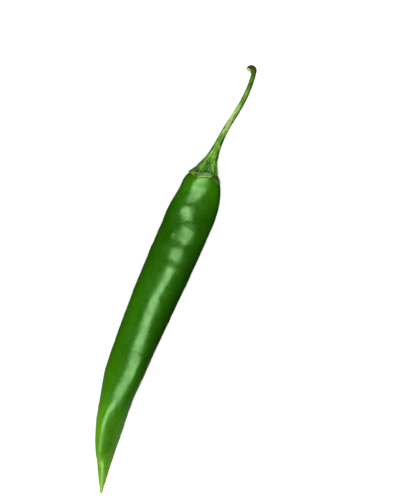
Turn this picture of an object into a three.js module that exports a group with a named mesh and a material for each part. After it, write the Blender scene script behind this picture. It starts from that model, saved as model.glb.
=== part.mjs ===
// A long green chilli pepper, picked with its stem and lying on its side on a table.
// It is three grown pieces: the pod, the calyx that caps the pod's shoulder, and the stem with its swollen end.
// All three are round sections strung along one curved spine, from the pod's tip to the end of the stem.
// Millimetres and degrees, +Z up. The table is z = 0, the tip lies towards -X and the stem towards +X,
// and the origin is on the table under the middle of the whole chilli.
import * as THREE from "three";

// Pod
const podLength = 120; // along the spine, from the tip to the calyx rim
const bellyRadius = 8.7; // the widest place, near the shoulder
const tipRadius = 0.5; // the blunt point
const shoulderRadius = 5.0; // where the calyx rim lies on the pod
const shoulderRoundness = 2.3; // a higher power keeps the shoulder full for longer before it turns in
const crownHeight = 4.2; // how far the pod's crown rises into the calyx
const crownRadius = 1.9; // the crown's small flat top
const pressedDepth = 0.12; // how far the skin is flattened where it lies on the table
const archHeight = 0.7; // how far the underside clears the table between the belly and the tip
const archStart = 0.08; // share of podLength from the tip where that arch starts
const archEnd = 0.5; // and where it ends

// Calyx
const calyxHeight = 8; // from its rim to the stem
const calyxWall = 0.45; // its thickness at the rim
const calyxRibs = 5; // one for each sepal
const ribHeight = 0.05; // share of the radius by which a rib stands out
const toothLength = 0.7; // how far a rib's tip runs down past the rim

// Stem
const stemLength = 36; // along the spine, from the calyx to the cut end
const stemBaseRadius = 2.0; // where it leaves the calyx
const stemRadius = 1.0; // along its length
const stemNeckRadius = 0.85; // just before the swollen end
const stemFlareLength = 4; // how quickly the base narrows
const knobRadius = 1.45; // the swollen end
const knobLength = 3.2; // the stretch that swells and hooks over
const stemRise = 3; // how far the stem arches up

const clearance = 0.3; // left between pieces that touch
const rimToEnd = calyxHeight + stemLength;
const stemRiseTurn = THREE.MathUtils.degToRad(117); // the stem's arch is highest three quarters of the way along

// Facets
const podSides = 32;
const calyxSides = 40;
const stemSides = 14;
const spineStep = 0.5;

// The pod's taper: share of its length from the tip, and share of the way from tipRadius to bellyRadius.
const podTaper = [
  [0, 0],
  [0.04, 0.1],
  [0.1, 0.28],
  [0.16, 0.46],
  [0.22, 0.56],
  [0.28, 0.635],
  [0.36, 0.78],
  [0.44, 0.84],
  [0.56, 0.91],
  [0.68, 0.97],
  [0.86, 1],
];
const bellyShare = podTaper.at(-1)[0];

// Heading of the spine seen from above, in degrees to the left of +X.
// Along the pod the first number is a share of podLength, and along the stem a share of stemLength.
const podHeading = [
  [0, 13],
  [0.1, 12],
  [0.22, 6],
  [0.36, -1],
  [0.5, -3.5],
  [0.7, -5],
  [0.88, -4],
  [1, 3],
];
const stemHeading = [
  [0, -5],
  [0.17, -7.5],
  [0.4, -13.5],
  [0.53, -13],
  [0.66, -7],
  [0.8, -1],
  [0.88, 4],
  [0.92, 16],
  [1, 118],
];

// A smooth value at x from a table of [x, value] rows, level at its two ends.
function smoothTable(rows, x) {
  const last = rows.length - 1;
  if (x <= rows[0][0]) return rows[0][1];
  if (x >= rows[last][0]) return rows[last][1];
  const i = rows.findIndex((row) => row[0] > x) - 1;
  const slope = (j) => {
    if (j <= 0 || j >= last) return 0;
    return (rows[j + 1][1] - rows[j - 1][1]) / (rows[j + 1][0] - rows[j - 1][0]);
  };
  const width = rows[i + 1][0] - rows[i][0];
  const t = (x - rows[i][0]) / width;
  const startSlope = slope(i) * width;
  const endSlope = slope(i + 1) * width;
  const rise = rows[i + 1][1] - rows[i][1];
  return rows[i][1] + t * startSlope + t * t * (3 * rise - 2 * startSlope - endSlope)
    + t * t * t * (startSlope + endSlope - 2 * rise);
}

// Radius of the pod at a distance from its tip: a round point, the taper, and the shoulder down to the calyx rim.
function podRadius(distance) {
  const share = distance / podLength;
  if (share > bellyShare) {
    const fall = Math.min((share - bellyShare) / (1 - bellyShare), 1);
    return shoulderRadius + (bellyRadius - shoulderRadius) * (1 - fall ** shoulderRoundness);
  }
  const tapered = tipRadius + (bellyRadius - tipRadius) * smoothTable(podTaper, share);
  const fromEnd = THREE.MathUtils.clamp(tipRadius - distance, 0, tipRadius);
  return tapered * Math.sqrt(1 - (fromEnd / tipRadius) ** 2);
}

// Radius of the stem at a distance from the calyx: a flared base, the shaft, and the swollen end.
function stemRadiusAt(distance) {
  const flare = (stemBaseRadius - stemRadius) * Math.exp(-distance / stemFlareLength);
  const knobStart = stemLength - knobLength;
  const narrowing = THREE.MathUtils.smoothstep(distance, stemLength / 2, knobStart);
  const shaft = THREE.MathUtils.lerp(stemRadius, stemNeckRadius, narrowing) + flare;
  const swelling = THREE.MathUtils.smoothstep(distance, knobStart, stemLength - knobLength / 3);
  return THREE.MathUtils.lerp(shaft, knobRadius, swelling);
}

// Height of the spine: the tapering underside lies along the table, and the stem arches up a little.
function spineHeight(distance) {
  const share = Math.min(distance / podLength, bellyShare);
  const alongArch = THREE.MathUtils.clamp((share - archStart) / (archEnd - archStart), 0, 1);
  const arch = archHeight * Math.sin(Math.PI * alongArch) ** 2;
  const alongStem = Math.max(distance - podLength, 0) / rimToEnd;
  const rise = stemRise * Math.sin(stemRiseTurn * alongStem) ** 2;
  return podRadius(share * podLength) + arch - pressedDepth + rise;
}

// The spine is drawn by walking along its heading in small steps.
function drawSpine() {
  const steps = Math.round((podLength + rimToEnd) / spineStep);
  const stride = (podLength + rimToEnd) / steps;
  const place = new THREE.Vector3();
  const points = [];
  for (let i = 0; i <= steps; i++) {
    const distance = i * stride;
    points.push(new THREE.Vector3(place.x, place.y, spineHeight(distance)));
    const middle = distance + stride / 2;
    let heading = smoothTable(podHeading, middle / podLength);
    if (middle > podLength) {
      const intoStem = (middle - podLength - calyxHeight) / stemLength;
      const joined = THREE.MathUtils.smoothstep(middle, podLength, podLength + calyxHeight);
      heading = THREE.MathUtils.lerp(podHeading.at(-1)[1], smoothTable(stemHeading, intoStem), joined);
    }
    const angle = THREE.MathUtils.degToRad(heading);
    place.x += stride * Math.cos(angle);
    place.y += stride * Math.sin(angle);
  }
  return points;
}
const spinePoints = drawSpine();
const spineStride = (podLength + rimToEnd) / (spinePoints.length - 1);

// Direction of the spine at one of its points.
function spineDirection(i) {
  const before = spinePoints[Math.max(i - 1, 0)];
  const after = spinePoints[Math.min(i + 1, spinePoints.length - 1)];
  return after.clone().sub(before).normalize();
}

// The spine's place and its two cross directions, side and up, at a distance from the pod's tip.
function spineFrame(distance) {
  const exact = THREE.MathUtils.clamp(distance / spineStride, 0, spinePoints.length - 1);
  const i = Math.min(Math.floor(exact), spinePoints.length - 2);
  const place = spinePoints[i].clone().lerp(spinePoints[i + 1], exact - i);
  const along = spineDirection(i).lerp(spineDirection(i + 1), exact - i).normalize();
  place.addScaledVector(along, distance - exact * spineStride);
  const side = new THREE.Vector3(0, 0, 1).cross(along).normalize();
  const up = along.clone().cross(side);
  return { place, side, up };
}

// A closed skin through rings on the spine. The profile is a list of { at, radius } from one point on the axis
// to another; shape(angle, ring) may change a ring point's distance along the spine and its radius.
function stringRings(profile, sides, shape = (angle, ring) => ring) {
  const positions = [];
  const faces = [];
  const rings = profile.slice(1, -1);
  const pushPoint = (angle, ring) => {
    const { at, radius } = shape(angle, ring);
    const { place, side, up } = spineFrame(at);
    place.addScaledVector(side, radius * Math.cos(angle)).addScaledVector(up, radius * Math.sin(angle));
    positions.push(place.x, place.y, Math.max(place.z, 0));
  };
  const vertex = (ring, j) => 1 + ring * sides + (j % sides);
  pushPoint(0, { ...profile[0], radius: 0 });
  for (const ring of rings) {
    for (let j = 0; j < sides; j++) pushPoint(((j + 0.5) / sides) * 2 * Math.PI, ring);
  }
  pushPoint(0, { ...profile.at(-1), radius: 0 });
  const last = positions.length / 3 - 1;
  for (let j = 0; j < sides; j++) {
    faces.push(0, vertex(0, j + 1), vertex(0, j));
    for (let i = 0; i < rings.length - 1; i++) {
      faces.push(vertex(i, j), vertex(i, j + 1), vertex(i + 1, j));
      faces.push(vertex(i, j + 1), vertex(i + 1, j + 1), vertex(i + 1, j));
    }
    faces.push(last, vertex(rings.length - 1, j), vertex(rings.length - 1, j + 1));
  }
  const geometry = new THREE.BufferGeometry();
  geometry.setAttribute("position", new THREE.Float32BufferAttribute(positions, 3));
  geometry.setIndex(faces);
  geometry.computeVertexNormals();
  return geometry;
}

function namedMesh(name, geometry, color, roughness) {
  const mesh = new THREE.Mesh(geometry, new THREE.MeshStandardMaterial({ color, roughness, metalness: 0 }));
  mesh.name = name;
  return mesh;
}

// The pod's own skin at a distance from its tip, past the calyx rim to the crown's top, moved outwards by lift.
function podSkin(distance, lift = 0) {
  const skinRadius = (at) => {
    const share = THREE.MathUtils.clamp((at - podLength) / crownHeight, 0, 1);
    if (share === 0) return podRadius(at);
    return shoulderRadius + (crownRadius - shoulderRadius) * Math.sin((Math.PI / 2) * share);
  };
  const reach = 0.1;
  const slope = (skinRadius(distance + reach) - skinRadius(distance - reach)) / (2 * reach);
  const outwards = lift / Math.hypot(1, slope);
  return { at: distance - slope * outwards, radius: skinRadius(distance) + outwards };
}

function buildPod() {
  const profile = [{ at: 0, radius: 0 }];
  for (const share of [0.15, 0.5, 1, 2, 4]) profile.push(podSkin(tipRadius * share));
  const bodyRings = 46;
  const bodyStart = tipRadius * 6;
  for (let i = 0; i <= bodyRings; i++) {
    const share = Math.sin((Math.PI / 2) * (i / bodyRings) ** 0.95);
    profile.push(podSkin(THREE.MathUtils.lerp(bodyStart, podLength, share)));
  }
  const crownRings = 8;
  for (let i = 1; i <= crownRings; i++) profile.push(podSkin(podLength + (crownHeight * i) / crownRings));
  profile.push({ at: podLength + crownHeight, radius: 0 });
  return stringRings(profile, podSides);
}

// The calyx is a cap: its inner wall follows the pod's crown, and its outer wall sweeps up to the stem
// in ribs, one to a sepal, that end in short teeth below the rim.
function buildCalyx() {
  const innerRings = 10;
  const outerRings = 12;
  const ceiling = podLength + crownHeight + clearance;
  const top = podLength + calyxHeight - clearance / 2;
  const ribAt = (angle) => Math.max(Math.cos(calyxRibs * angle), 0) ** 2;
  const profile = [{ at: ceiling, radius: 0 }, { at: ceiling, radius: crownRadius + clearance }];
  for (let i = innerRings; i >= 0; i--) profile.push({ wall: "inner", share: i / innerRings });
  for (let i = 0; i <= outerRings; i++) profile.push({ wall: "outer", share: i / outerRings });
  profile.push({ at: top, radius: 0 });
  return stringRings(profile, calyxSides, (angle, ring) => {
    const tooth = toothLength * ribAt(angle);
    if (ring.wall === "inner") {
      return podSkin(podLength + crownHeight * ring.share - tooth * (1 - ring.share) ** 4, clearance);
    }
    if (ring.wall !== "outer") return ring;
    const rim = podSkin(podLength - tooth, clearance + calyxWall);
    const flare = (1 - ring.share) ** 1.35;
    const rib = 1 + ribHeight * ribAt(angle) * Math.sin(Math.PI * ring.share);
    return {
      at: THREE.MathUtils.lerp(rim.at, top, ring.share),
      radius: THREE.MathUtils.lerp(stemBaseRadius, rim.radius, flare) * rib,
    };
  });
}

function buildStem() {
  const start = podLength + calyxHeight + clearance / 2;
  const length = stemLength - clearance / 2;
  const profile = [{ at: start, radius: 0 }];
  const stemRings = 40;
  for (let i = 0; i <= stemRings; i++) {
    const share = i / stemRings;
    profile.push({ at: start + length * share, radius: stemRadiusAt(stemLength * share) });
  }
  profile.push({ at: start + length, radius: 0 });
  return stringRings(profile, stemSides);
}

const chilli = new THREE.Group();
chilli.add(
  namedMesh("pod", buildPod(), 0x2f6b06, 0.3),
  namedMesh("calyx", buildCalyx(), 0x3d6b22, 0.6),
  namedMesh("stem", buildStem(), 0x5f9130, 0.6),
);
const middle = new THREE.Box3().setFromObject(chilli).getCenter(new THREE.Vector3());
chilli.position.set(-middle.x, -middle.y, 0);

export default chilli;
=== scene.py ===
import math
import bpy
import numpy as np
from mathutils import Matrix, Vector


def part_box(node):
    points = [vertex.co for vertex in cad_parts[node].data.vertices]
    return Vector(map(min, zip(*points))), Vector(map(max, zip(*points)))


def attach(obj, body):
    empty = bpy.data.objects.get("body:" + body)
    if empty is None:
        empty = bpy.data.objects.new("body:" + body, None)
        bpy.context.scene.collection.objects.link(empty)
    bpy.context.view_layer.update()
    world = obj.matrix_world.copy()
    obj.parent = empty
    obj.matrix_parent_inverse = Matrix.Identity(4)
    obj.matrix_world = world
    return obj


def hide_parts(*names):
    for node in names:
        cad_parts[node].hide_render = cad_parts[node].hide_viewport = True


# A long green chilli pepper lying on its side: pod, calyx and stem, each a skin of rings strung on one
# curved spine. Shapes are drawn in millimetres from the pod's tip at x = 0, over a table at z = 0, and
# toFrame() carries them onto the CAD part in metres. Turns round the spine start at its left.
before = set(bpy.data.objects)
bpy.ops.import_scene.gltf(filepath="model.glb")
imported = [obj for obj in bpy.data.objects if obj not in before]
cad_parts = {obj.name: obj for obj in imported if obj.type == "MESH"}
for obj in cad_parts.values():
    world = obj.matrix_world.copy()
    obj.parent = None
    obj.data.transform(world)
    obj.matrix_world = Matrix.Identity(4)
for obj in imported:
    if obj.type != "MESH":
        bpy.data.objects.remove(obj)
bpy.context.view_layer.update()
print("frame loaded:", ", ".join(sorted(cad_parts)))


# A smooth curve through rows of [x, value, ...], level at its two ends: cubic between rows, with a row's
# slope taken from its two neighbours.
def smoothTable(rows, x):
    rows = np.asarray(rows, float)
    at, value = rows[:, 0], rows[:, 1:]
    slope = np.zeros_like(value)
    slope[1:-1] = (value[2:] - value[:-2]) / (at[2:] - at[:-2])[:, None]
    x = np.clip(x, at[0], at[-1])
    i = np.clip(np.searchsorted(at, x, side="right") - 1, 0, len(at) - 2)
    width = (at[i + 1] - at[i])[..., None]
    t = ((x - at[i])[..., None]) / width
    rise = value[i + 1] - value[i]
    start, end = slope[i] * width, slope[i + 1] * width
    curve = value[i] + t * start + t * t * (3 * rise - 2 * start - end) + t ** 3 * (start + end - 2 * rise)
    return curve[..., 0] if value.shape[1] == 1 else curve


# 0 below low, 1 above high, and an S-shaped curve between.
def ease(x, low, high):
    t = np.clip((x - low) / (high - low), 0, 1)
    return t * t * (3 - 2 * t)


# A bell: 1 at the middle, falling as exp(-(distance / width)^2).
def bell(x, middle, width):
    return np.exp(-((x - middle) / width) ** 2)


# Smooth random bumps between -1 and 1: random heights on a lattice, eased between its points. The lattice
# closes on itself round the section, where it has aroundCount points; along the spine they are grain apart.
def softBumps(seed, along, around, grain, aroundCount):
    rows = 512
    lattice = np.random.default_rng(seed).uniform(-1, 1, (rows, aroundCount))
    a = along / grain + 8
    b = (around / (2 * np.pi)) % 1 * aroundCount
    i, j = np.floor(a).astype(int), np.floor(b).astype(int)
    s, t = ease(a - i, 0, 1), ease(b - j, 0, 1)
    i0, i1, j0, j1 = i % rows, (i + 1) % rows, j % aroundCount, (j + 1) % aroundCount
    near = lattice[i0, j0] * (1 - t) + lattice[i0, j1] * t
    far = lattice[i1, j0] * (1 - t) + lattice[i1, j1] * t
    return near * (1 - s) + far * s


# Turns of the points round a ring, half a step off the spine's left.
def evenTurns(sides):
    return 2 * np.pi * (np.arange(sides) + 0.5) / sides


# A turn as degrees from the top, positive to the right of the spine.
def degreesFromTop(turn):
    return (np.degrees(turn) + 90) % 360 - 180


podSize = {
    "length": 120.0,         # along the spine, tip to calyx rim
    "bellyRadius": 8.7,
    "tipRadius": 0.5,
    "shoulderRadius": 5.0,   # at the calyx rim
    "shoulderRoundness": 2.3,
    "swellSides": 0.8,       # how far both shoulders stand out round the calyx
    "swellLeft": 0.5,        # and the left one more, the right one less
    "swellAt": 118.6,
    "swellSpread": 4.0,
    "crownHeight": 4.2,      # hidden under the calyx
    "crownRadius": 1.9,
    "pressedDepth": 0.12,    # flattened where it lies
    "archHeight": 0.7,       # clearance under the tapering half
    "archStart": 0.08,       # shares of the length
    "archSpan": 0.42,
    "rings": 620,
    "sides": 150,
    # share of the length from the tip, share of the way from tipRadius to bellyRadius
    "taper": [[0, 0], [0.04, 0.1], [0.1, 0.28], [0.16, 0.46], [0.22, 0.56], [0.28, 0.635],
              [0.36, 0.78], [0.44, 0.84], [0.56, 0.91], [0.68, 0.97], [0.86, 1]],
    # share of the length, degrees to the left of +X
    "heading": [[0, 13], [0.1, 12], [0.22, 6], [0.36, -1], [0.5, -3.5], [0.7, -5], [0.88, -4], [1, 3]],
}
calyxSize = {
    "height": 8.0,
    "overlap": 0.35,         # how far its upper end runs on under the stem's skin
    "neckShare": 1.03,       # of the stem's base radius
    "flare": 1.8,
    "rings": 90,
    "sides": 240,
    "ringCrowding": 1.25,    # over 1, rings stand closer at the rim
    "wall": 0.22,            # thickness of the lip
    # angles are degrees from the top, positive to the right of the spine
    "teeth": [-150, -88, -29, 60, 108, 155],    # where each sepal ends in a point
    "toothWidth": 6.0,
    "toothLength": 0.6,
    "notches": [-31, 33],                       # dark nicks in the rim
    "notchWidth": 3.5,
    "ribs": [-170, -112, -46, 37, 84, 130],     # where a ridge climbs to the stem
    "ribWidth": 19.0,
    "ribHeight": 0.17,       # share of the radius
    "ribSink": 0.4,          # what the valleys lose, as a share of ribHeight
    "ribsOverGroove": 0.5,   # how much of the groove the ridges fill
    "ribsFrom": (0.22, 0.45),    # shares of the height over which they start
    "lines": 47,             # fine lines round the cap
    "lineSway": 2,
    "lineSways": 5,
    "lineHeight": 0.03,
    "grooveAt": 0.27,
    "grooveWidth": 0.07,
    "grooveDepth": 0.22,
    "lipAt": 0.02,
    "lipWidth": 0.035,
    "lipHeight": 0.10,
    "bumpHeight": 0.05,
    "bumpSeed": 12,
    "bumpGrain": (0.7, 34),
    "closeOver": (-2.2, 0.2),    # mm from its top, where it closes onto the stem
    "underStem": 0.05,
    # angle, how far the rim reaches over the pod towards its tip
    "rimReach": [[-180, 0.3], [-125, -0.3], [-90, -0.8], [-60, 0.0], [-29, 0.7], [-5, 0.25], [20, -0.3],
                 [38, 0.0], [60, 0.8], [85, 0.3], [108, 0.5], [150, 0.0], [180, 0.3]],
    "innerRings": 12,        # the wall inside, which runs back up to the axis
    "innerReach": 0.9,       # share of the pod's crown
    "innerGap": 0.08,        # how far it lies inside the pod's skin
    # masks for the finish: the pale panel, the yellow-green spot and the rim's own pale colour, stronger on
    # top as painted light
    "panelFrom": (-40, -30),
    "panelTo": (22, 34),
    "panelTop": (0.17, 0.25),
    "spotTurn": -55,
    "spotWidth": 8.0,
    "spotAt": 0.03,
    "spotHeight": 0.08,
    "rimTurn": 3,
    "rimPaintedLightOver": (0.885, 0.93),
    "rimPlain": 0.25,
    "hollowTo": (0.5, 1.0),
    "tipHeight": 0.12,
    "tipShare": 0.6,
}
stemSize = {
    "length": 36.0,
    "baseRadius": 2.0,
    "radius": 1.0,
    "neckRadius": 0.85,      # just before the swollen end
    "flareLength": 4.0,
    "knobRadius": 1.45,
    "knobLength": 3.2,
    "rise": 3.0,
    "riseTurn": math.radians(117),
    "underCap": 0.4,         # how far it starts inside the calyx
    "ribWidth": 17.0,
    "ribTwist": 1.4,         # degrees a millimetre
    "ribHeight": 0.15,       # share of the radius, by the calyx
    "ribKept": 0.035,        # and all the way up
    "ribFade": 12.0,
    "ribSink": 0.4,
    "ridges": 13,            # fine ridges round the shaft
    "ridgeTwist": 0.12,
    "ridgeHeight": 0.03,
    "bumpHeight": 0.035,
    "bumpSeed": 21,
    "bumpGrain": (1.6, 10),
    "knobRidges": 0.3,       # share of the ridges kept on the swollen end
    "knobBumpHeight": 0.06,
    "knobBumpSeed": 22,
    "knobBumpGrain": (0.5, 9),
    "cutTilt": 0.45,         # how far the cut face leans up, and round to the left
    "cutTurn": 0.12,
    "cutLength": 1.6,
    "roundLength": 1.5,      # the edge of the cut face is rounded
    "roundDepth": 0.42,
    "faceRings": 14,
    "faceFrom": 0.96,        # shares of its radius, first and last ring
    "faceTo": 0.04,
    "dishDepth": 0.16,
    "edgeHeight": 0.10,
    "edgeAt": 0.85,
    "edgeWidth": 0.1,
    "rings": 420,
    "sides": 96,
    "heading": [[0, -5], [0.17, -7.5], [0.4, -13.5], [0.53, -13], [0.66, -7], [0.8, -1],
                [0.88, 4], [0.925, 14], [0.975, 112], [1, 165]],
    # masks for the finish: painted shade on the right side, painted light on the upper left side near the
    # calyx, and the pale scar
    "shadeOver": (0.0, 0.9),
    "paintedLightTurn": 1.2,
    "paintedLightOver": (0.3, 1.0),
    "paintedLightTo": (22, 28),
    "scarAt": 16.2,
    "scarLength": 2.4,
    "scarTurn": 0.8,
    "scarOver": (0.35, 0.9),
}
stemStart = podSize["length"] + calyxSize["height"]
spineLength = stemStart + stemSize["length"]
bellyShare = podSize["taper"][-1][0]


# Radius of the pod at a distance from its tip: a round point, the taper, then the shoulder falling to the
# rim as a power of the share of the way.
def podRadius(distance):
    p = podSize
    share = np.clip(distance / p["length"], 0, 1)
    tapered = p["tipRadius"] + (p["bellyRadius"] - p["tipRadius"]) * smoothTable(p["taper"], share)
    fromEnd = np.clip(1 - distance / p["tipRadius"], 0, 1)
    fall = np.clip((share - bellyShare) / (1 - bellyShare), 0, 1)
    shoulder = (p["bellyRadius"] - p["shoulderRadius"]) * fall ** p["shoulderRoundness"]
    return tapered * np.sqrt(1 - fromEnd ** 2) - shoulder


# The pod's radius and, past the rim, its crown: a quarter sine from the shoulder's radius to the crown's.
def crownedRadius(distance):
    p = podSize
    inCrown = np.clip((distance - p["length"]) / p["crownHeight"], 0, 1)
    return podRadius(distance) + (p["crownRadius"] - p["shoulderRadius"]) * np.sin(np.pi / 2 * inCrown)


# The shoulders stand out a little round the calyx, more on the left: a bell along the spine near the rim.
def shoulderSwell(distance, turn):
    p = podSize
    aside = p["swellSides"] * np.cos(turn) ** 2 + p["swellLeft"] * np.cos(turn)
    return aside * bell(distance, p["swellAt"], p["swellSpread"])


# Height of the spine over the table: the tapering underside lies down, and the stem arches up.
def spineHeight(distance):
    p, t = podSize, stemSize
    share = np.minimum(distance / p["length"], bellyShare)
    arch = p["archHeight"] * np.sin(np.pi * np.clip((share - p["archStart"]) / p["archSpan"], 0, 1)) ** 2
    pastPod = np.clip(distance - p["length"], 0, None) / (spineLength - p["length"])
    rise = t["rise"] * np.sin(t["riseTurn"] * pastPod) ** 2
    return podRadius(share * p["length"]) + arch - p["pressedDepth"] + rise


# The spine is walked along its heading in small steps: x and y add up the cosine and sine of the heading.
def drawSpine(step=0.1):
    length = podSize["length"]
    distance = np.arange(0, spineLength + step, step)
    middle = distance[:-1] + step / 2
    podHeading = smoothTable(podSize["heading"], middle / length)
    stemHeading = smoothTable(stemSize["heading"], (middle - stemStart) / stemSize["length"])
    joined = ease(middle, length, stemStart)
    heading = np.radians(podHeading + (stemHeading - podHeading) * joined)
    x = np.concatenate([[0], np.cumsum(step * np.cos(heading))])
    y = np.concatenate([[0], np.cumsum(step * np.sin(heading))])
    place = np.stack([x, y, spineHeight(distance)], -1)
    along = np.gradient(place, axis=0)
    along /= np.linalg.norm(along, axis=1, keepdims=True)
    side = np.stack([-along[:, 1], along[:, 0], 0 * along[:, 0]], -1)
    side /= np.linalg.norm(side, axis=1, keepdims=True)
    return distance, place, side, np.cross(along, side), along


spineDistance, spinePlace, spineSide, spineUp, spineAlong = drawSpine()


# Points off the spine: aside to the left of it and above it, at each distance along it.
def offSpine(distance, aside, above):
    def at(values):
        return np.stack([np.interp(distance, spineDistance, values[:, k]) for k in range(3)], -1)
    beyond = (distance - np.clip(distance, 0, spineDistance[-1]))[..., None]
    across = at(spineSide) * aside[..., None] + at(spineUp) * above[..., None]
    return at(spinePlace) + across + at(spineAlong) * beyond


# A closed skin: rings of points from one end to the other, with a point closing each end. The masks are
# values at the same points, kept as attributes for the finish to read.
def closedSkin(name, rings, masks):
    count, sides = rings.shape[:2]
    points = np.concatenate([rings[:1].mean(1), rings.reshape(-1, 3), rings[-1:].mean(1)])
    ring, side = np.meshgrid(np.arange(count - 1), np.arange(sides), indexing="ij")
    here, beside = 1 + ring * sides + side, 1 + ring * sides + (side + 1) % sides
    quads = np.stack([here, beside, beside + sides, here + sides], -1).reshape(-1, 4)
    turn = np.arange(sides)
    firstFan = np.stack([0 * turn, 1 + (turn + 1) % sides, 1 + turn], -1)
    lastStart = 1 + (count - 1) * sides
    lastFan = np.stack([0 * turn + len(points) - 1, lastStart + turn, lastStart + (turn + 1) % sides], -1)
    corners = np.concatenate([quads.ravel(), firstFan.ravel(), lastFan.ravel()])
    starts = np.concatenate([4 * np.arange(len(quads)), 4 * len(quads) + 3 * np.arange(2 * sides)])
    mesh = bpy.data.meshes.new(name)
    mesh.vertices.add(len(points))
    mesh.vertices.foreach_set("co", toFrame(points).astype(np.float32).ravel())
    mesh.loops.add(len(corners))
    mesh.loops.foreach_set("vertex_index", corners.astype(np.int32))
    mesh.polygons.add(len(starts))
    mesh.polygons.foreach_set("loop_start", starts.astype(np.int32))
    mesh.update(calc_edges=True)
    mesh.shade_smooth()
    for maskName, values in masks.items():
        isVector = values.ndim == 3
        byRing = values.reshape(count, sides, -1)
        flat = np.concatenate([byRing[:1].mean(1), byRing.reshape(count * sides, -1), byRing[-1:].mean(1)])
        layer = mesh.attributes.new(maskName, "FLOAT_VECTOR" if isVector else "FLOAT", "POINT")
        layer.data.foreach_set("vector" if isVector else "value", flat.astype(np.float32).ravel())
    piece = bpy.data.objects.new(name, mesh)
    bpy.context.scene.collection.objects.link(piece)
    return piece


podLook = {
    "ringCrowding": 0.35,    # how much closer the rings stand at the tip
    "tipOpening": 0.004,     # mm from the very tip to the first ring
    # distance from the tip, how far the highest line leans: shares of the half width, right is positive
    "ridge": [[0, -0.1], [6, -0.2], [10, -0.4], [14, -0.56], [20, -0.52], [25, -0.47], [29, -0.32],
              [34, 0.02], [39, 0.17], [48, 0.32], [55, 0.19], [62, 0.11], [70, 0.045], [76, 0.075],
              [84, 0.16], [91, 0.065], [96, 0.125], [100.3, 0.11], [105.6, -0.22], [108, -0.23],
              [116, -0.16], [119, -0.06], [121, 0]],
    # height of the top over the plain outline, in low steps that face the stem
    "topLine": [[60, 0], [80, 0], [85.2, 0.14], [88.4, -0.24], [91.9, 0.16], [95.6, -0.28], [100.2, 0.14],
                [102.8, -0.10], [106.8, 0.10], [111.5, 0.02], [116, 0]],
    "topLineOver": (0.1, 0.8),   # shares of the height over the spine
    # distance from the tip, place across (-1 left edge, 1 right edge), length, width, height (mm), degrees
    "swells": [
        [116.0, -0.15, 4.5, 3.8, -0.50, 0],
        [104.8, -0.34, 2.3, 2.6, -0.36, 0],
        [98.6, 0.12, 2.2, 1.9, -0.20, 0],
        [80.0, 0.02, 8.0, 2.4, 0.13, 0],
        [94.5, 0.08, 5.0, 2.2, 0.11, 0],
        [96.4, -0.52, 1.7, 1.2, 0.52, 0],
        [108.8, 0.20, 0.9, 0.9, -0.10, 0],
        [90.3, 0.02, 1.9, 1.7, -0.14, 0],
        [72.5, -0.25, 2.0, 1.6, 0.08, 0],
        [66.0, 0.20, 4.0, 1.5, 0.05, 0],
        [60.0, 0.35, 3.0, 2.2, 0.08, 10],
        [57.0, 0.05, 2.6, 2.4, -0.12, 0],
        [53.3, 0.22, 0.8, 3.4, -0.16, 8],
        [51.0, 0.20, 0.6, 2.6, -0.07, -6],
        [49.3, 0.28, 3.4, 3.0, -0.30, 0],
        [44.8, 0.20, 0.9, 3.0, -0.16, 0],
        [38.5, 0.12, 5.0, 3.4, -0.50, 0],
        [30.0, -0.20, 3.0, 2.0, -0.14, 30],
        [21.0, -0.54, 7.0, 1.3, 0.14, 0],
        [12.0, -0.40, 3.2, 1.8, -0.38, 0],
        [24.0, 0.35, 9.0, 2.6, -0.20, 0],
        [31.5, 0.95, 4.0, 3.0, 0.25, 0],
    ],
    "swellsOver": (-0.4, 0.2),
    # distance, place across, length, width, share: where the wax is thinner and the gloss softer
    "dullSpots": [[22.0, -0.50, 5.5, 3.2, 1.0], [90.3, 0.0, 3.0, 3.0, 0.9], [53.0, 0.2, 5.0, 4.0, 0.6],
                  [39.0, 0.0, 6.0, 4.0, 0.6], [98.8, 0.0, 3.0, 3.0, 0.8]],
    "scratched": [104.9, -0.28, 3.2, 2.8],
    "leftward": 0.4,         # how far the middle of the pod bows out to the left of the spine
    "leftwardFrom": (20, 42),
    "leftwardTo": (100, 118),
    "lobes": 3,
    "lobeTwist": 0.035,
    "lobeTurn": 0.6,
    "lobeHeight": 0.10,
    "dimpleHeight": 0.07,
    "dimpleSeed": 3,
    "dimpleGrain": (5.5, 9),
    "rippleHeight": 0.05,
    "rippleSeed": 4,
    "rippleGrain": (2.4, 20),
    "bodyFrom": (0, 12),     # lobes, dimples and ripples fade out at both ends
    "bodyTo": (116, 120),
    # masks for the finish: painted shade on the right flank, which starts further out by the shoulder, and
    # painted light on the left flank
    "shadeAcross": (0.3, 0.95),
    "shadeAlong": (8, 62),
    "shadeOutward": 0.4,
    "shadeOutwardAlong": (84, 106),
    "paintedLightAcross": (0.15, 0.95),
    "paintedLightFrom": (6, 16),
    "paintedLightTo": (45, 100),
}


# A soft spot, 1 at its middle: exp(-(u^2 + v^2)), with u along the spine over length and v across over width.
def softSpot(d, aside, halfWidth, at, across, length, width, angle=0.0):
    c, s = math.cos(math.radians(angle)), math.sin(math.radians(angle))
    alongIt, acrossIt = d - at, -aside - across * np.interp(at, d[:, 0], halfWidth[:, 0])
    u, v = (c * alongIt + s * acrossIt) / length, (c * acrossIt - s * alongIt) / width
    return np.exp(-u * u - v * v)


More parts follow.
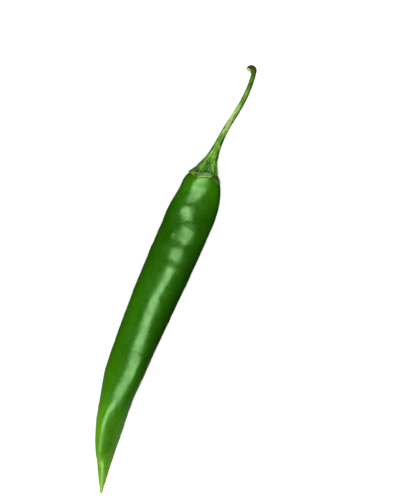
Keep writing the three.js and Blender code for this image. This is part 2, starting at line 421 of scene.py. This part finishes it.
# The pod: rings of the crowned radius, leaning to where the ridge is, plus a push outward made of three
# lobes (a cosine of the turn), soft bumps, the top line, the shoulders and the list of swells.
def buildPod():
    p, look = podSize, podLook
    row = np.linspace(0, 1, p["rings"])
    crowded = row + look["ringCrowding"] * (row ** 3 - row) * (1 - row)
    distance = (p["length"] + p["crownHeight"]) * crowded + look["tipOpening"]
    d, a = np.meshgrid(distance, evenTurns(p["sides"]), indexing="ij")
    radius = crownedRadius(d)
    # The section is an ellipse drawn as aside = cos(a), above = sin(a - lean), so its width and height stay
    # the radius while its highest line moves off the spine.
    lean = np.arcsin(smoothTable(look["ridge"], d))
    aside, above = radius * np.cos(a), radius * np.sin(a - lean)
    aside = aside + look["leftward"] * ease(d, *look["leftwardFrom"]) * (1 - ease(d, *look["leftwardTo"]))
    # Everything finer is a push along the ring's own outward direction.
    body = ease(d, *look["bodyFrom"]) * (1 - ease(d, *look["bodyTo"]))
    push = look["lobeHeight"] * np.cos(look["lobes"] * a + look["lobeTwist"] * d + look["lobeTurn"]) * body
    push = push + look["dimpleHeight"] * softBumps(look["dimpleSeed"], d, a, *look["dimpleGrain"]) * body
    push = push + look["rippleHeight"] * softBumps(look["rippleSeed"], d, a, *look["rippleGrain"]) * body
    push = push + smoothTable(look["topLine"], d) * ease(above / radius, *look["topLineOver"])
    push = push + shoulderSwell(d, a)
    onTop = ease(above / radius, *look["swellsOver"])
    for at, across, length, width, height, angle in look["swells"]:
        push = push + height * softSpot(d, aside, radius, at, across, length, width, angle) * onTop
    dull = sum(share * softSpot(d, aside, radius, *spot) for *spot, share in look["dullSpots"])
    scratched = softSpot(d, aside, radius, *look["scratched"])
    aside, above = aside + push * np.cos(a), above + push * np.sin(a)
    points = offSpine(d, aside, above)
    points[..., 2] = np.maximum(points[..., 2], 0)
    toLeft = aside / np.maximum(radius, 0.1)
    outward = look["shadeOutward"] * ease(d, *look["shadeOutwardAlong"])
    paintedLightAlong = ease(d, *look["paintedLightFrom"]) * (1 - ease(d, *look["paintedLightTo"]))
    return points, {
        "along": d / p["length"],
        # painted shade darkening the right flank, and painted light on the left flank
        "shade": ease(-toLeft - outward, *look["shadeAcross"]) * ease(d, *look["shadeAlong"]),
        "paintedLight": ease(toLeft, *look["paintedLightAcross"]) * paintedLightAlong,
        "dull": dull * onTop,
        "scratched": scratched * onTop,
        "straight": np.stack([d, aside, above], -1) * 0.001,
    }


podPoints, podMasks = buildPod()
podLow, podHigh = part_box("pod")
unit = (podHigh.x - podLow.x) / np.ptp(podPoints[..., 0])
middleY = (podPoints[..., 1].min() + podPoints[..., 1].max()) / 2
shift = np.array([podLow.x - podPoints[..., 0].min() * unit, (podLow.y + podHigh.y) / 2 - middleY * unit, 0])


# Drawn millimetres to metres in the CAD frame.
def toFrame(points):
    return points * unit + shift


pod = closedSkin("chilliPod", podPoints, podMasks)
print("pod:", len(pod.data.polygons), "faces, unit", round(unit, 7))


# Nearness to the closest of some angles: a bell over the angle between, 1 on it.
def nearAngle(fromTop, angles, width):
    gap = np.abs((fromTop[..., None] - np.array(angles, float) + 180) % 360 - 180).min(-1)
    return bell(gap, 0, width)


# Radius of the stem's shaft, into millimetres past the calyx: plain, and with the calyx's ridges, which run
# on up it, turning and fading.
def shaftRadius(into, fromTop):
    t = stemSize
    pastCap = np.clip(into, 0, None)
    narrowing = ease(into, t["length"] / 2, t["length"] - t["knobLength"])
    plain = t["radius"] + (t["neckRadius"] - t["radius"]) * narrowing
    plain = plain + (t["baseRadius"] - t["radius"]) * np.exp(-pastCap / t["flareLength"])
    rib = nearAngle(fromTop - t["ribTwist"] * into, calyxSize["ribs"], t["ribWidth"])
    height = t["ribHeight"] * np.exp(-pastCap / t["ribFade"]) + t["ribKept"]
    return plain, plain * (1 + height * (rib - t["ribSink"])), rib


# The calyx: from the rim's radius a power curve falls to the stem's, times a bell for every ridge, plus fine
# lines (a cosine of the turn), a groove, a lip and soft bumps.
def buildCalyx():
    c, p = calyxSize, podSize
    turn = evenTurns(c["sides"])
    s, a = np.meshgrid(np.linspace(0, 1, c["rings"]) ** c["ringCrowding"], turn, indexing="ij")
    fromTop = degreesFromTop(a)
    rib = nearAngle(fromTop, c["ribs"], c["ribWidth"])
    tooth = nearAngle(fromTop, c["teeth"], c["toothWidth"])
    sway = c["lineSway"] * np.sin(np.radians(fromTop) * c["lineSways"])
    fine = np.cos(np.radians(fromTop) * c["lines"] + sway)
    top = stemStart + c["overlap"]
    rimAt = p["length"] - smoothTable(c["rimReach"], fromTop) - c["toothLength"] * tooth
    at = rimAt + (top - rimAt) * s
    neck = stemSize["baseRadius"] * c["neckShare"]
    rimRadius = podRadius(rimAt) + shoulderSwell(rimAt, a) + c["wall"]
    # A saucer by the rim, a groove round it, and above the groove ridges that climb to the stem.
    radius = neck + (rimRadius - neck) * (1 - s) ** c["flare"]
    ridged = ease(s, *c["ribsFrom"])
    radius = radius * (1 + c["ribHeight"] * (rib - c["ribSink"]) * ridged)
    radius = radius + c["lineHeight"] * fine * np.sin(np.pi * s)
    lip = bell(s, c["lipAt"], c["lipWidth"])
    groove = bell(s, c["grooveAt"], c["grooveWidth"]) * (1 - c["ribsOverGroove"] * rib)
    radius = radius - c["grooveDepth"] * groove
    radius = radius + c["lipHeight"] * lip
    radius = radius + c["bumpHeight"] * softBumps(c["bumpSeed"], at, a, *c["bumpGrain"])
    # Its upper end closes down onto the stem and just under its skin.
    onStem = shaftRadius(at - stemStart, fromTop)[1]
    radius = radius + (onStem - c["underStem"] - radius) * ease(at - stemStart, *c["closeOver"])
    # The inner wall runs back up under the skirt and closes on the axis, just inside the pod's skin.
    inner = np.linspace(1, 0, c["innerRings"])[:, None] * np.ones_like(turn)[None]
    innerAt = rimAt[:1] * (1 - inner) + (p["length"] + p["crownHeight"] * c["innerReach"]) * inner
    innerTurn = np.broadcast_to(turn, innerAt.shape)
    innerRadius = crownedRadius(innerAt) + shoulderSwell(innerAt, innerTurn) - c["innerGap"]
    atAll, radiusAll = np.concatenate([innerAt, at]), np.concatenate([innerRadius, radius])
    aside, above = radiusAll * np.cos(turn), radiusAll * np.sin(turn)
    panel = ease(fromTop, *c["panelFrom"]) * (1 - ease(fromTop, *c["panelTo"]))
    panel = panel * (1 - ease(s, *c["panelTop"]))
    # the rim's own pale colour is kept at rimPlain round the sides and made full on top as painted light
    paintedLightOnRim = ease(np.cos(np.radians(fromTop + c["rimTurn"])), *c["rimPaintedLightOver"])
    nicks = np.maximum(c["tipShare"] * tooth, nearAngle(fromTop, c["notches"], c["notchWidth"]))

    def outside(values):
        return np.concatenate([np.zeros_like(inner), values])
    return offSpine(atAll, aside, above), {
        "along": outside(s),
        "rib": outside(rib * ridged),
        "hollow": outside((1 - rib) * ridged * (1 - ease(s, *c["hollowTo"]))),
        "line": outside(0.5 + 0.5 * fine),
        "panel": outside(panel),
        "spot": outside(bell(fromTop, c["spotTurn"], c["spotWidth"]) * bell(s, c["spotAt"], c["spotHeight"])),
        "rim": outside(lip * (c["rimPlain"] + (1 - c["rimPlain"]) * paintedLightOnRim)),
        "tip": outside(nicks * bell(s, 0, c["tipHeight"])),
        "straight": np.stack([atAll, aside, above], -1) * 0.001,
    }


calyx = closedSkin("chilliCalyx", *buildCalyx())
print("calyx:", len(calyx.data.polygons), "faces")


# The stem: rings of the shaft's radius swelling to the knob, plus a cosine of the turn for its fine ridges
# and soft bumps, closed by the rings of the cut face.
def buildStem():
    t = stemSize
    turn = evenTurns(t["sides"])
    distance = np.linspace(stemStart - t["underCap"], spineLength, t["rings"])
    d, a = np.meshgrid(distance, turn, indexing="ij")
    into = np.clip(d - stemStart, 0, t["length"])
    plain, ridged, rib = shaftRadius(into, degreesFromTop(a))
    knob = ease(into, t["length"] - t["knobLength"], t["length"] - t["knobLength"] / 3)
    radius = ridged + (t["knobRadius"] + t["knobRidges"] * (ridged - plain) - ridged) * knob
    radius = radius + t["ridgeHeight"] * np.cos(t["ridges"] * a + t["ridgeTwist"] * into)
    radius = radius + t["bumpHeight"] * softBumps(t["bumpSeed"], d, a, *t["bumpGrain"])
    radius = radius + t["knobBumpHeight"] * knob * softBumps(t["knobBumpSeed"], d, a, *t["knobBumpGrain"])
    # The cut face leans, its upper and inner edges further back, and closes in rings over a shallow dish.
    lean = t["cutTilt"] * np.sin(a) + t["cutTurn"] * np.cos(a)
    back = ease(into, t["length"] - t["cutLength"], t["length"]) * radius * lean
    rounding = ease(into, t["length"] - t["roundLength"], t["length"])
    radius = radius * np.sqrt(1 - t["roundDepth"] * rounding ** 2)
    points = offSpine(d - back, radius * np.cos(a), radius * np.sin(a))
    inner = np.linspace(t["faceFrom"], t["faceTo"], t["faceRings"])[:, None]
    reach = radius[-1] * inner
    dish = -t["dishDepth"] * (1 - inner ** 2) + t["edgeHeight"] * bell(inner, t["edgeAt"], t["edgeWidth"])
    face = offSpine(spineLength + dish - back[-1] * inner, reach * np.cos(turn), reach * np.sin(turn))
    scar = bell(into, t["scarAt"], t["scarLength"]) * ease(np.cos(a - t["scarTurn"]), *t["scarOver"])

    def withFace(values, onFace):
        return np.concatenate([values, np.broadcast_to(onFace, face.shape[:2])])
    straight = [withFace(into, t["length"]), withFace(radius * np.cos(a), reach * np.cos(turn)),
                withFace(radius * np.sin(a), reach * np.sin(turn))]
    # painted light on the upper left side, fading out up the stem from the calyx
    paintedLight = ease(np.cos(a - t["paintedLightTurn"]), *t["paintedLightOver"]) * (1 - ease(into, *t["paintedLightTo"]))
    return np.concatenate([points, face]), {
        "along": withFace(into / t["length"], 1.0),
        "rib": withFace(rib, 0.0),
        # painted shade on the right side
        "shade": withFace(ease(-np.cos(a), *t["shadeOver"]), 0.0),
        "paintedLight": withFace(paintedLight, 0.0),
        "scar": withFace(scar, 0.0),
        "cut": withFace(0 * into, 1.0),
        "centre": withFace(np.ones_like(into), inner),
        "straight": np.stack(straight, -1) * 0.001,
    }


stem = closedSkin("chilliStem", *buildStem())
print("stem:", len(stem.data.polygons), "faces")


# A value or another node's output goes into an input, which is named, or numbered as i0, i1 and so on.
def setInput(tree, node, name, value):
    key = name.replace("_", " ")
    socket = node.inputs[key] if key in node.inputs else node.inputs[int(name[1:])]
    if isinstance(value, bpy.types.NodeSocket):
        tree.links.new(value, socket)
    elif isinstance(value, tuple) and len(socket.default_value) > len(value):
        socket.default_value = (*value, 1)    # a plain colour
    else:
        socket.default_value = value


def addNode(tree, kind, **inputs):
    node = tree.nodes.new(kind)
    for name, value in inputs.items():
        setInput(tree, node, name, value)
    return node


def mixColour(tree, factor, first, second, blend="MIX"):
    node = tree.nodes.new("ShaderNodeMix")
    node.data_type = "RGBA"
    node.blend_type = blend
    for name, value in (("i0", factor), ("i6", first), ("i7", second)):
        setInput(tree, node, name, value)
    return node.outputs[2]


def ramp(tree, factor, stops):
    node = addNode(tree, "ShaderNodeValToRGB", Fac=factor)
    elements = node.color_ramp.elements
    while len(elements) < len(stops):
        elements.new(1)
    for element, (at, colour) in zip(elements, stops):
        element.position = at
        element.color = (*colour, 1)
    return node.outputs["Color"]


def attribute(tree, name, output="Fac"):
    node = addNode(tree, "ShaderNodeAttribute")
    node.attribute_name = name
    return node.outputs[output]


def maths(tree, operation, *values):
    node = tree.nodes.new("ShaderNodeMath")
    node.operation = operation
    for index, value in enumerate(values):
        setInput(tree, node, f"i{index}", value)
    return node.outputs[0]


def times(tree, first, second):
    return maths(tree, "MULTIPLY", first, second)


def noise(tree, vector, settings):
    return addNode(tree, "ShaderNodeTexNoise", Vector=vector, **settings).outputs["Fac"]


# A value between low and high is spread over atLow to atHigh, and held there beyond them.
def spread(tree, value, low, high, atLow=0.0, atHigh=1.0):
    node = addNode(tree, "ShaderNodeMapRange", Value=value, From_Min=low, From_Max=high,
                   To_Min=atLow, To_Max=atHigh)
    return node.outputs[0]


def newGroup(name, *numbers):
    group = bpy.data.node_groups.new(name, "ShaderNodeTree")
    group.interface.new_socket("Vector", in_out="INPUT", socket_type="NodeSocketVector")
    for number in numbers:
        group.interface.new_socket(number, in_out="INPUT", socket_type="NodeSocketFloat")
    group.interface.new_socket("Mask", in_out="OUTPUT", socket_type="NodeSocketFloat")
    return group, addNode(group, "NodeGroupInput").outputs


# Streaks that run lengthwise: noise read in coordinates squeezed along the spine. Out comes 0 to 1.
def makeStreaks():
    group, given = newGroup("lengthwiseStreaks", "Scale", "Stretch", "Low", "High")
    parts = addNode(group, "ShaderNodeSeparateXYZ", Vector=given["Vector"]).outputs
    squeezed = maths(group, "DIVIDE", parts[0], given["Stretch"])
    joined = addNode(group, "ShaderNodeCombineXYZ", X=squeezed, Y=parts[1], Z=parts[2]).outputs[0]
    grain = noise(group, joined, {"Scale": given["Scale"], "Detail": 3.0, "Roughness": 0.6})
    addNode(group, "NodeGroupOutput", Mask=spread(group, grain, given["Low"], given["High"]))
    return group


# Small round specks: cells whose middle is nearer than Size, in a Share of the cells.
def makeSpecks():
    group, given = newGroup("fineSpecks", "Scale", "Size", "Share")
    cells = addNode(group, "ShaderNodeTexVoronoi", Vector=given["Vector"], Scale=given["Scale"]).outputs
    near = spread(group, cells["Distance"], 0.0, given["Size"], 1.0, 0.0)
    pick = addNode(group, "ShaderNodeSeparateColor", Color=cells["Color"]).outputs[0]
    kept = maths(group, "LESS_THAN", pick, given["Share"])
    addNode(group, "NodeGroupOutput", Mask=times(group, near, kept))
    return group


streaksGroup, specksGroup = makeStreaks(), makeSpecks()


def useGroup(tree, group, vector, settings):
    node = tree.nodes.new("ShaderNodeGroup")
    node.node_tree = group
    for name, value in settings.items():
        setInput(tree, node, name, value)
    setInput(tree, node, "Vector", vector)
    return node.outputs["Mask"]


def newMaterial(name, finish):
    material = bpy.data.materials.new(name)
    material.use_nodes = True
    tree = material.node_tree
    tree.nodes.clear()
    shader = addNode(tree, "ShaderNodeBsdfPrincipled")
    shader.inputs["Roughness"].default_value = finish["roughness"]
    shader.inputs["Specular IOR Level"].default_value = finish["glossLevel"]
    shader.inputs["Specular Tint"].default_value = (*finish["glossTint"], 1)
    addNode(tree, "ShaderNodeOutputMaterial", Surface=shader.outputs[0])
    return material, tree, shader


podFinish = {
    "colours": [[0.0, (0.16, 0.30, 0.03)], [0.05, (0.10, 0.235, 0.012)], [0.13, (0.045, 0.162, 0.002)],
                [0.32, (0.0150, 0.088, 0.0003)], [0.43, (0.0105, 0.066, 0.0002)],
                [0.6, (0.0095, 0.066, 0.0002)], [0.88, (0.0092, 0.058, 0.0002)],
                [0.96, (0.0180, 0.104, 0.0002)], [1.0, (0.0180, 0.104, 0.0002)]],
    "darkMottle": (0.008, 0.048, 0.0003),
    "mottle": {"Scale": 90.0, "Detail": 4.0, "Roughness": 0.55},
    "mottleFrom": (0.45, 0.75),
    "mottleShare": 0.45,
    "paleStreak": (0.022, 0.092, 0.001),
    "streaks": {"Scale": 420.0, "Stretch": 9.0, "Low": 0.5, "High": 0.78},
    "streakShare": 0.35,
    "speck": (0.04, 0.13, 0.006),
    "specks": {"Scale": 900.0, "Size": 0.22, "Share": 0.35},
    "speckShare": 0.35,
    "paintedShadeFlank": (0.45, 0.42, 0.3),     # these two multiply the colour under them: painted shade on the right flank, painted light on the left
    "paintedLightFlank": (1.9, 1.5, 0.8),
    "roughness": 0.22,
    "smoother": -0.05,
    "rougher": 0.2,
    "blotches": {"Scale": 240.0, "Detail": 5.0, "Roughness": 0.6},
    "blotchFrom": (0.35, 0.72),
    "dullRoughness": 0.14,
    "grain": {"Scale": 700.0, "Detail": 3.0, "Roughness": 0.6},
    "grainBump": {"Strength": 0.35, "Distance": 0.00012},
    "scratchTurn": 38.0,                # degrees
    "scratches": {"Scale": 2300.0, "Stretch": 9.0, "Low": 0.42, "High": 0.62},
    "scratchBump": {"Strength": 0.4, "Distance": 0.00006},
    "ior": 1.45,
    "glossLevel": 1.0,
    "glossTint": (0.54, 1.0, 0.40),
}


def podMaterial():
    f = podFinish
    material, tree, shader = newMaterial("podSkin", f)
    shader.inputs["IOR"].default_value = f["ior"]
    straight = attribute(tree, "straight", "Vector")
    colour = ramp(tree, attribute(tree, "along"), f["colours"])
    mottle = spread(tree, noise(tree, straight, f["mottle"]), *f["mottleFrom"], 0.0, f["mottleShare"])
    colour = mixColour(tree, mottle, colour, f["darkMottle"])
    streaks = useGroup(tree, streaksGroup, straight, f["streaks"])
    colour = mixColour(tree, times(tree, streaks, f["streakShare"]), colour, f["paleStreak"])
    specks = useGroup(tree, specksGroup, straight, f["specks"])
    colour = mixColour(tree, times(tree, specks, f["speckShare"]), colour, f["speck"])
    # painted shade on the right flank, painted light on the left flank
    colour = mixColour(tree, attribute(tree, "shade"), colour, f["paintedShadeFlank"], "MULTIPLY")
    colour = mixColour(tree, attribute(tree, "paintedLight"), colour, f["paintedLightFlank"], "MULTIPLY")
    setInput(tree, shader, "Base_Color", colour)
    smooth, rough = f["roughness"] + f["smoother"], f["roughness"] + f["rougher"]
    blotched = spread(tree, noise(tree, straight, f["blotches"]), *f["blotchFrom"], smooth, rough)
    softer = times(tree, attribute(tree, "dull"), f["dullRoughness"])
    setInput(tree, shader, "Roughness", maths(tree, "ADD", blotched, softer))
    bump = addNode(tree, "ShaderNodeBump", Height=noise(tree, straight, f["grain"]), **f["grainBump"])
    turned = addNode(tree, "ShaderNodeVectorRotate", Vector=straight, Angle=math.radians(f["scratchTurn"]))
    lines = useGroup(tree, streaksGroup, turned.outputs[0], f["scratches"])
    scored = addNode(tree, "ShaderNodeBump", Height=times(tree, lines, attribute(tree, "scratched")),
                     Normal=bump.outputs[0], **f["scratchBump"])
    setInput(tree, shader, "Normal", scored.outputs[0])
    return material


calyxFinish = {
    "body": [[0.0, (0.016, 0.065, 0.004)], [0.16, (0.014, 0.060, 0.008)], [0.24, (0.006, 0.034, 0.003)],
             [0.36, (0.012, 0.060, 0.006)], [0.55, (0.024, 0.105, 0.003)], [1.0, (0.045, 0.165, 0.004)]],
    "hollow": (0.010, 0.050, 0.006),
    "rib": (0.105, 0.265, 0.008),
    "ribShare": 0.85,
    "panel": (0.120, 0.230, 0.070),
    "panelShare": 0.25,      # between its lines
    "panelLined": 0.75,      # more on them
    "line": (0.170, 0.310, 0.080),
    "streaks": {"Scale": 1900.0, "Stretch": 4.5, "Low": 0.48, "High": 0.60},
    "streakShare": 0.3,
    "streakLined": 0.6,
    "dark": (0.004, 0.024, 0.002),
    "darkStreaks": {"Scale": 1500.0, "Stretch": 3.0, "Low": 0.52, "High": 0.62},
    "darkShare": 0.8,
    "spot": (0.190, 0.270, 0.006),
    "speck": (0.150, 0.260, 0.060),
    "specks": {"Scale": 2100.0, "Size": 0.35, "Share": 0.3},
    "speckShare": 0.55,
    # the pale rim: its own colour, with painted light on top
    "rim": (0.250, 0.400, 0.060),
    "tip": (0.030, 0.036, 0.008),
    "grain": {"Scale": 2600.0, "Detail": 3.0},
    "grainBump": {"Strength": 0.6, "Distance": 0.0002},
    "roughness": 0.5,
    "glossLevel": 0.12,
    "glossTint": (0.60, 1.0, 0.48),
}


def calyxMaterial():
    f = calyxFinish
    material, tree, shader = newMaterial("calyxSkin", f)
    straight = attribute(tree, "straight", "Vector")
    line = attribute(tree, "line")
    colour = ramp(tree, attribute(tree, "along"), f["body"])
    colour = mixColour(tree, attribute(tree, "hollow"), colour, f["hollow"])
    colour = mixColour(tree, times(tree, attribute(tree, "rib"), f["ribShare"]), colour, f["rib"])
    lined = maths(tree, "MULTIPLY_ADD", line, f["panelLined"], f["panelShare"])
    colour = mixColour(tree, times(tree, attribute(tree, "panel"), lined), colour, f["panel"])
    streaks = useGroup(tree, streaksGroup, straight, f["streaks"])
    pale = times(tree, streaks, maths(tree, "MULTIPLY_ADD", line, f["streakLined"], f["streakShare"]))
    colour = mixColour(tree, pale, colour, f["line"])
    darker = useGroup(tree, streaksGroup, straight, f["darkStreaks"])
    colour = mixColour(tree, times(tree, darker, f["darkShare"]), colour, f["dark"])
    colour = mixColour(tree, attribute(tree, "spot"), colour, f["spot"])
    specks = useGroup(tree, specksGroup, straight, f["specks"])
    colour = mixColour(tree, times(tree, specks, f["speckShare"]), colour, f["speck"])
    colour = mixColour(tree, attribute(tree, "rim"), colour, f["rim"])
    colour = mixColour(tree, attribute(tree, "tip"), colour, f["tip"])
    setInput(tree, shader, "Base_Color", colour)
    bump = addNode(tree, "ShaderNodeBump", Height=noise(tree, straight, f["grain"]), **f["grainBump"])
    setInput(tree, shader, "Normal", bump.outputs[0])
    return material


stemFinish = {
    "body": [[0.0, (0.045, 0.165, 0.003)], [0.25, (0.043, 0.150, 0.003)], [0.5, (0.036, 0.128, 0.002)],
             [0.85, (0.042, 0.096, 0.003)], [0.93, (0.030, 0.045, 0.003)], [1.0, (0.024, 0.022, 0.004)]],
    # painted light on the stem's upper left side
    "paintedLight": (0.095, 0.215, 0.030),
    "paintedLightShare": 0.4,
    "lowPart": (0.25, 0.75),     # share of the length over which the streaks thin out
    "highPart": 0.25,            # what is left of them above it
    "rib": (0.230, 0.400, 0.100),
    "streaks": {"Scale": 1150.0, "Stretch": 2.6, "Low": 0.48, "High": 0.56},
    "streakShare": 0.6,
    "streakRibbed": 0.4,
    "dark": (0.009, 0.040, 0.001),
    "grooves": {"Scale": 1000.0, "Stretch": 3.5, "Low": 0.51, "High": 0.57},
    "grooveShare": 0.2,
    "grooveLow": 0.65,
    "pale": (0.380, 0.440, 0.160),
    "patches": {"Scale": 330.0, "Stretch": 2.5, "Low": 0.58, "High": 0.66},
    "patchShare": 0.6,
    "fibres": {"Scale": 1300.0, "Stretch": 8.0, "Low": 0.34, "High": 0.50},
    "brown": (0.060, 0.048, 0.014),
    "specks": {"Scale": 1300.0, "Size": 0.35, "Share": 0.22},
    "speckShare": 0.6,
    "shade": (0.40, 0.42, 0.35),         # painted shade on the right side: multiplies the colour under it
    "cut": (0.62, 0.60, 0.22),
    "pith": (0.110, 0.080, 0.022),
    "pithOver": (0.25, 0.5),
    "pithShare": 1.6,
    "grain": {"Scale": 2500.0, "Detail": 2.0},
    "grainBump": {"Strength": 0.6, "Distance": 0.00015},
    "roughness": 0.5,
    "glossLevel": 0.12,
    "glossTint": (0.60, 1.0, 0.48),
}


def stemMaterial():
    f = stemFinish
    material, tree, shader = newMaterial("stemSkin", f)
    straight = attribute(tree, "straight", "Vector")
    along = attribute(tree, "along")
    colour = ramp(tree, along, f["body"])
    lowPart = spread(tree, along, *f["lowPart"], 1.0, f["highPart"])
    # painted light on the upper left side near the calyx
    colour = mixColour(tree, times(tree, attribute(tree, "paintedLight"), f["paintedLightShare"]), colour, f["paintedLight"])
    streaks = useGroup(tree, streaksGroup, straight, f["streaks"])
    ribbed = maths(tree, "MULTIPLY_ADD", attribute(tree, "rib"), f["streakRibbed"], f["streakShare"])
    colour = mixColour(tree, times(tree, times(tree, streaks, ribbed), lowPart), colour, f["rib"])
    grooves = useGroup(tree, streaksGroup, straight, f["grooves"])
    grooves = times(tree, grooves, maths(tree, "MULTIPLY_ADD", lowPart, f["grooveLow"], f["grooveShare"]))
    colour = mixColour(tree, grooves, colour, f["dark"])
    patches = times(tree, useGroup(tree, streaksGroup, straight, f["patches"]), f["patchShare"])
    scarred = maths(tree, "MAXIMUM", patches, attribute(tree, "scar"))
    fibres = useGroup(tree, streaksGroup, straight, f["fibres"])
    colour = mixColour(tree, times(tree, scarred, fibres), colour, f["pale"])
    specks = useGroup(tree, specksGroup, straight, f["specks"])
    colour = mixColour(tree, times(tree, specks, f["speckShare"]), colour, f["brown"])
    # painted shade on the right side
    colour = mixColour(tree, attribute(tree, "shade"), colour, f["shade"], "MULTIPLY")
    grain = noise(tree, straight, f["grain"])
    pith = times(tree, spread(tree, attribute(tree, "centre"), *f["pithOver"], 1.0, 0.0), grain)
    face = mixColour(tree, times(tree, pith, f["pithShare"]), f["cut"], f["pith"])
    setInput(tree, shader, "Base_Color", mixColour(tree, attribute(tree, "cut"), colour, face))
    bump = addNode(tree, "ShaderNodeBump", Height=grain, **f["grainBump"])
    setInput(tree, shader, "Normal", bump.outputs[0])
    return material


for piece, node, slot, material in ((pod, "pod", "pod_skin", podMaterial()),
                                    (calyx, "calyx", "calyx", calyxMaterial()),
                                    (stem, "stem", "stem", stemMaterial())):
    piece.data.materials.append(material)
    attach(piece, "root")
    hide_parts(node)
print("materials done")

studio = {
    "floorSize": 6.0,
    "floorDrop": 0.00002,
    "floorColour": (0.86, 0.86, 0.86),
    "bounceColour": (0.012, 0.035, 0.003),      # what the chilli sees of the floor, as if among others
    "tipBounceColour": (0.26, 0.32, 0.20),      # and near its tip, where the floor lies open
    "tipBounceAt": (4.0, -12.0, 0.0),           # drawn mm
    "tipBounceReach": 0.055,
    "keySize": (1.95, 1.16),    # along the chilli, across it
    "keyPlace": (-0.85, 1.2),   # along the chilli from its middle, height
    "keyRadiance": 6.8,
    "stemKeySize": (1.0, 1.4),
    "stemKeyPlace": (1.19, 1.2),
    "stemKeyRadiance": 7.2,
    "keyAside": 0.06,           # towards the right of the view
    "keyLayers": 4,
    "keyNarrowing": 0.5,
    "layerGap": 0.002,
    "fillPower": 14,
    "fillSize": (1.6, 1.0),
    "fillPlace": (1.2, 0.7),    # towards the left of the view, height
    "ambient": 0.16,
    "cameraHeight": 2.0,
    "sensorWidth": 36,
    "clipEnd": 20,
    "viewTurn": math.radians(71.2),    # how far +X is turned from the right of the view
    "viewLong": 0.1786,                # metres seen along the long side of the view
    "aimFromTip": (94.2, -6.0, 0.0),   # the middle of the view in drawn mm
    "aimHeight": 0.0085,
}
viewRight = Vector((math.cos(studio["viewTurn"]), -math.sin(studio["viewTurn"]), 0))


def makeFloor():
    half, low = studio["floorSize"] / 2, -studio["floorDrop"]
    mesh = bpy.data.meshes.new("floor")
    corners = [(-half, -half, low), (half, -half, low), (half, half, low), (-half, half, low)]
    mesh.from_pydata(corners, [], [(0, 1, 2, 3)])
    floor = bpy.data.objects.new("floor", mesh)
    bpy.context.scene.collection.objects.link(floor)
    material = bpy.data.materials.new("floorPaper")
    material.use_nodes = True
    tree = material.node_tree
    tree.nodes.clear()
    pale = addNode(tree, "ShaderNodeBsdfDiffuse", Color=studio["floorColour"])
    place = addNode(tree, "ShaderNodeTexCoord").outputs["Object"]
    underTip = tuple(toFrame(np.array(studio["tipBounceAt"])))
    gap = addNode(tree, "ShaderNodeVectorMath", i0=place, i1=underTip)
    gap.operation = "DISTANCE"
    near = spread(tree, gap.outputs["Value"], 0.0, studio["tipBounceReach"], 1.0, 0.0)
    bounce = mixColour(tree, near, studio["bounceColour"], studio["tipBounceColour"])
    dim = addNode(tree, "ShaderNodeBsdfDiffuse", Color=bounce)
    seen = addNode(tree, "ShaderNodeLightPath").outputs["Is Camera Ray"]
    mixed = addNode(tree, "ShaderNodeMixShader", i0=seen, i1=dim.outputs[0], i2=pale.outputs[0])
    addNode(tree, "ShaderNodeOutputMaterial", Surface=mixed.outputs[0])
    mesh.materials.append(material)


# Without a target the light shines straight down.
def areaLight(name, place, size, power, target=None):
    data = bpy.data.lights.new(name, "AREA")
    data.shape = "RECTANGLE"
    data.size = size[0]
    data.size_y = size[1]
    data.energy = power
    light = bpy.data.objects.new(name, data)
    light.location = place
    light.rotation_mode = "QUATERNION"
    if target is not None:
        light.rotation_quaternion = (target - place).normalized().to_track_quat("-Z", "Y")
    light.visible_camera = False
    bpy.context.scene.collection.objects.link(light)
    return light


# A softbox overhead with soft sides: layers of shrinking width, all of one brightness.
def softBox(name, size, place, radiance):
    layers = studio["keyLayers"]
    for layer in range(layers):
        width = size[1] * (1 - studio["keyNarrowing"] * layer / (layers - 1))
        power = radiance / layers * math.pi * size[0] * width
        spot = Vector((place[0], 0, place[1] + studio["layerGap"] * layer)) + studio["keyAside"] * viewRight
        areaLight(f"{name}Light{layer}", spot, (size[0], width), power)


def lightStage():
    for name in ("key", "stemKey"):
        softBox(name, studio[name + "Size"], studio[name + "Place"], studio[name + "Radiance"])
    aside, height = studio["fillPlace"]
    fillPlace = Vector((0, 0, height)) - aside * viewRight
    fill = areaLight("leftFill", fillPlace, studio["fillSize"], studio["fillPower"], Vector((0, 0, 0)))
    fill.visible_glossy = False
    world = bpy.data.worlds.new("studioWorld")
    world.use_nodes = True
    tree = world.node_tree
    tree.nodes.clear()
    # white behind the floor, a soft light on everything, and nothing of it mirrored in the skin
    path = addNode(tree, "ShaderNodeLightPath").outputs
    soft = maths(tree, "MULTIPLY_ADD", path["Is Glossy Ray"], -studio["ambient"], studio["ambient"])
    strength = maths(tree, "MAXIMUM", soft, path["Is Camera Ray"])
    background = addNode(tree, "ShaderNodeBackground", Color=(1, 1, 1), Strength=strength)
    addNode(tree, "ShaderNodeOutputWorld", Surface=background.outputs[0])
    bpy.context.scene.world = world


def makeCamera():
    data = bpy.data.cameras.new("camera")
    data.sensor_width = studio["sensorWidth"]
    data.lens = studio["sensorWidth"] * studio["cameraHeight"] / studio["viewLong"]
    data.clip_end = studio["clipEnd"]
    camera = bpy.data.objects.new("camera", data)
    aim = toFrame(np.array(studio["aimFromTip"]))
    camera.location = (float(aim[0]), float(aim[1]), studio["aimHeight"] + studio["cameraHeight"])
    camera.rotation_euler = (0, 0, -studio["viewTurn"])
    bpy.context.scene.collection.objects.link(camera)
    bpy.context.scene.camera = camera


makeFloor()
lightStage()
makeCamera()
bpy.context.scene.view_settings.view_transform = "Standard"
print("stage set")
